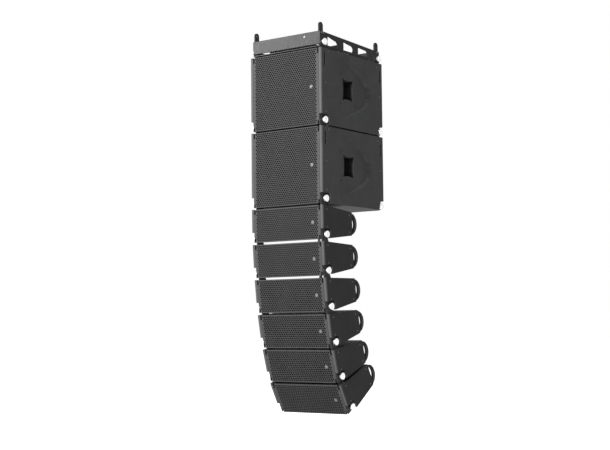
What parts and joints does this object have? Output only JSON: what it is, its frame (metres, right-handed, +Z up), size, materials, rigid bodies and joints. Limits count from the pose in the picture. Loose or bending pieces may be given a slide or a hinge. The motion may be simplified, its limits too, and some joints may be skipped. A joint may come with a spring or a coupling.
{
  "type": "line array speaker",
  "caption": "Flown line array: a steel flying frame, two deep bass cabinets and a curved column of splayed wedge modules with perforated grilles and pull-pin rigging.",
  "frame": {"origin": "centre of the four lifting-lug holes of the flying frame", "axes": "+X to the right side panel as seen by someone facing the grilles, -Y the way the grilles face, +Z up"},
  "size_m": [0.73, 0.887, 3.1555],
  "materials": {
    "cabinet_paint": "textured black paint on plywood",
    "grille_steel": "satin black powder coat on perforated steel",
    "driver_body": "black coated cast frames and magnets",
    "handle_plastic": "moulded black plastic",
    "rigging_steel": "black powder coat",
    "connector_plate": "black anodised",
    "knob_steel": "satin turned steel",
    "frame_steel": "semi-gloss black powder coat",
    "bolt_steel": "black zinc"
  },
  "bodies": {
    "frame_and_bass_cabinets": {"frame_bolts": "bolt_steel", "frame_cross_tubes": "frame_steel", "frame_front_bar": "frame_steel", "frame_lifting_lugs": "frame_steel", "frame_side_plates": "frame_steel", "sub_1_cabinet": "cabinet_paint", "sub_1_grille": "grille_steel", "sub_1_handle_cups": "handle_plastic", "sub_1_rear_panel": "connector_plate", "sub_1_rigging": "rigging_steel", "sub_1_woofer": "driver_body", "sub_2_cabinet": "cabinet_paint", "sub_2_grille": "grille_steel", "sub_2_handle_cups": "handle_plastic", "sub_2_rear_panel": "connector_plate", "sub_2_rigging": "rigging_steel", "sub_2_woofer": "driver_body"},
    "frame_knob_right": {"frame_knob_right": "knob_steel"},
    "frame_knob_left": {"frame_knob_left": "knob_steel"},
    "sub_1_knob_right": {"sub_1_knob_right": "knob_steel"},
    "sub_1_knob_left": {"sub_1_knob_left": "knob_steel"},
    "sub_2_knob_right": {"sub_2_knob_right": "knob_steel"},
    "sub_2_knob_left": {"sub_2_knob_left": "knob_steel"},
    "module_1": {"module_1_cabinet": "cabinet_paint", "module_1_drivers": "driver_body", "module_1_grille": "grille_steel", "module_1_rigging": "rigging_steel"},
    "module_1_knob_right": {"module_1_knob_right": "knob_steel"},
    "module_1_knob_left": {"module_1_knob_left": "knob_steel"},
    "module_2": {"module_2_cabinet": "cabinet_paint", "module_2_drivers": "driver_body", "module_2_grille": "grille_steel", "module_2_rigging": "rigging_steel"},
    "module_2_knob_right": {"module_2_knob_right": "knob_steel"},
    "module_2_knob_left": {"module_2_knob_left": "knob_steel"},
    "module_3": {"module_3_cabinet": "cabinet_paint", "module_3_drivers": "driver_body", "module_3_grille": "grille_steel", "module_3_rigging": "rigging_steel"},
    "module_3_knob_right": {"module_3_knob_right": "knob_steel"},
    "module_3_knob_left": {"module_3_knob_left": "knob_steel"},
    "module_4": {"module_4_cabinet": "cabinet_paint", "module_4_drivers": "driver_body", "module_4_grille": "grille_steel", "module_4_rigging": "rigging_steel"},
    "module_4_knob_right": {"module_4_knob_right": "knob_steel"},
    "module_4_knob_left": {"module_4_knob_left": "knob_steel"},
    "module_5": {"module_5_cabinet": "cabinet_paint", "module_5_drivers": "driver_body", "module_5_grille": "grille_steel", "module_5_rigging": "rigging_steel"},
    "module_5_knob_right": {"module_5_knob_right": "knob_steel"},
    "module_5_knob_left": {"module_5_knob_left": "knob_steel"},
    "module_6": {"module_6_cabinet": "cabinet_paint", "module_6_drivers": "driver_body", "module_6_grille": "grille_steel", "module_6_rigging": "rigging_steel"},
    "module_6_knob_right": {"module_6_knob_right": "knob_steel"},
    "module_6_knob_left": {"module_6_knob_left": "knob_steel"}
  },
  "joints": [
    {"name": "frame_knob_right_pull", "type": "slide", "parent": "frame_and_bass_cabinets", "child": "frame_knob_right", "axis": [1, 0, 0], "range_m": [0, 0.02], "stiffness_N_per_m": 900, "springref_m": -0.012},
    {"name": "frame_knob_left_pull", "type": "slide", "parent": "frame_and_bass_cabinets", "child": "frame_knob_left", "axis": [-1, 0, 0], "range_m": [0, 0.02], "stiffness_N_per_m": 900, "springref_m": -0.012},
    {"name": "sub_1_knob_right_pull", "type": "slide", "parent": "frame_and_bass_cabinets", "child": "sub_1_knob_right", "axis": [1, 0, 0], "range_m": [0, 0.02], "stiffness_N_per_m": 900, "springref_m": -0.012},
    {"name": "sub_1_knob_left_pull", "type": "slide", "parent": "frame_and_bass_cabinets", "child": "sub_1_knob_left", "axis": [-1, 0, 0], "range_m": [0, 0.02], "stiffness_N_per_m": 900, "springref_m": -0.012},
    {"name": "sub_2_knob_right_pull", "type": "slide", "parent": "frame_and_bass_cabinets", "child": "sub_2_knob_right", "axis": [1, 0, 0], "range_m": [0, 0.02], "stiffness_N_per_m": 900, "springref_m": -0.012},
    {"name": "sub_2_knob_left_pull", "type": "slide", "parent": "frame_and_bass_cabinets", "child": "sub_2_knob_left", "axis": [-1, 0, 0], "range_m": [0, 0.02], "stiffness_N_per_m": 900, "springref_m": -0.012},
    {"name": "splay_1", "type": "hinge", "parent": "frame_and_bass_cabinets", "child": "module_1", "pos_m": [0, -0.387, -1.387], "axis": [1, 0, 0], "range_deg": [-0.7, 6.3]},
    {"name": "module_1_knob_right_pull", "type": "slide", "parent": "module_1", "child": "module_1_knob_right", "axis": [1, 0, 0], "range_m": [0, 0.02], "stiffness_N_per_m": 900, "springref_m": -0.012},
    {"name": "module_1_knob_left_pull", "type": "slide", "parent": "module_1", "child": "module_1_knob_left", "axis": [-1, 0, 0], "range_m": [0, 0.02], "stiffness_N_per_m": 900, "springref_m": -0.012},
    {"name": "splay_2", "type": "hinge", "parent": "module_1", "child": "module_2", "pos_m": [0, -0.38349, -1.67398], "axis": [1, 0, 0], "range_deg": [-3.4, 9.1]},
    {"name": "module_2_knob_right_pull", "type": "slide", "parent": "module_2", "child": "module_2_knob_right", "axis": [1, 0, 0], "range_m": [0, 0.02], "stiffness_N_per_m": 900, "springref_m": -0.012},
    {"name": "module_2_knob_left_pull", "type": "slide", "parent": "module_2", "child": "module_2_knob_left", "axis": [-1, 0, 0], "range_m": [0, 0.02], "stiffness_N_per_m": 900, "springref_m": -0.012},
    {"name": "splay_3", "type": "hinge", "parent": "module_2", "child": "module_3", "pos_m": [0, -0.36297, -1.96024], "axis": [1, 0, 0], "range_deg": [-2.5, 10]},
    {"name": "module_3_knob_right_pull", "type": "slide", "parent": "module_3", "child": "module_3_knob_right", "axis": [1, 0, 0], "range_m": [0, 0.02], "stiffness_N_per_m": 900, "springref_m": -0.012},
    {"name": "module_3_knob_left_pull", "type": "slide", "parent": "module_3", "child": "module_3_knob_left", "axis": [-1, 0, 0], "range_m": [0, 0.02], "stiffness_N_per_m": 900, "springref_m": -0.012},
    {"name": "splay_4", "type": "hinge", "parent": "module_3", "child": "module_4", "pos_m": [0, -0.32999, -2.24534], "axis": [1, 0, 0], "range_deg": [-4.5, 8]},
    {"name": "module_4_knob_right_pull", "type": "slide", "parent": "module_4", "child": "module_4_knob_right", "axis": [1, 0, 0], "range_m": [0, 0.02], "stiffness_N_per_m": 900, "springref_m": -0.012},
    {"name": "module_4_knob_left_pull", "type": "slide", "parent": "module_4", "child": "module_4_knob_left", "axis": [-1, 0, 0], "range_m": [0, 0.02], "stiffness_N_per_m": 900, "springref_m": -0.012},
    {"name": "splay_5", "type": "hinge", "parent": "module_4", "child": "module_5", "pos_m": [0, -0.27473, -2.52697], "axis": [1, 0, 0], "range_deg": [-5.6, 6.9]},
    {"name": "module_5_knob_right_pull", "type": "slide", "parent": "module_5", "child": "module_5_knob_right", "axis": [1, 0, 0], "range_m": [0, 0.02], "stiffness_N_per_m": 900, "springref_m": -0.012},
    {"name": "module_5_knob_left_pull", "type": "slide", "parent": "module_5", "child": "module_5_knob_left", "axis": [-1, 0, 0], "range_m": [0, 0.02], "stiffness_N_per_m": 900, "springref_m": -0.012},
    {"name": "splay_6", "type": "hinge", "parent": "module_5", "child": "module_6", "pos_m": [0, -0.19226, -2.80187], "axis": [1, 0, 0], "range_deg": [-12.5, 0]},
    {"name": "module_6_knob_right_pull", "type": "slide", "parent": "module_6", "child": "module_6_knob_right", "axis": [1, 0, 0], "range_m": [0, 0.02], "stiffness_N_per_m": 900, "springref_m": -0.012},
    {"name": "module_6_knob_left_pull", "type": "slide", "parent": "module_6", "child": "module_6_knob_left", "axis": [-1, 0, 0], "range_m": [0, 0.02], "stiffness_N_per_m": 900, "springref_m": -0.012}
  ]
}
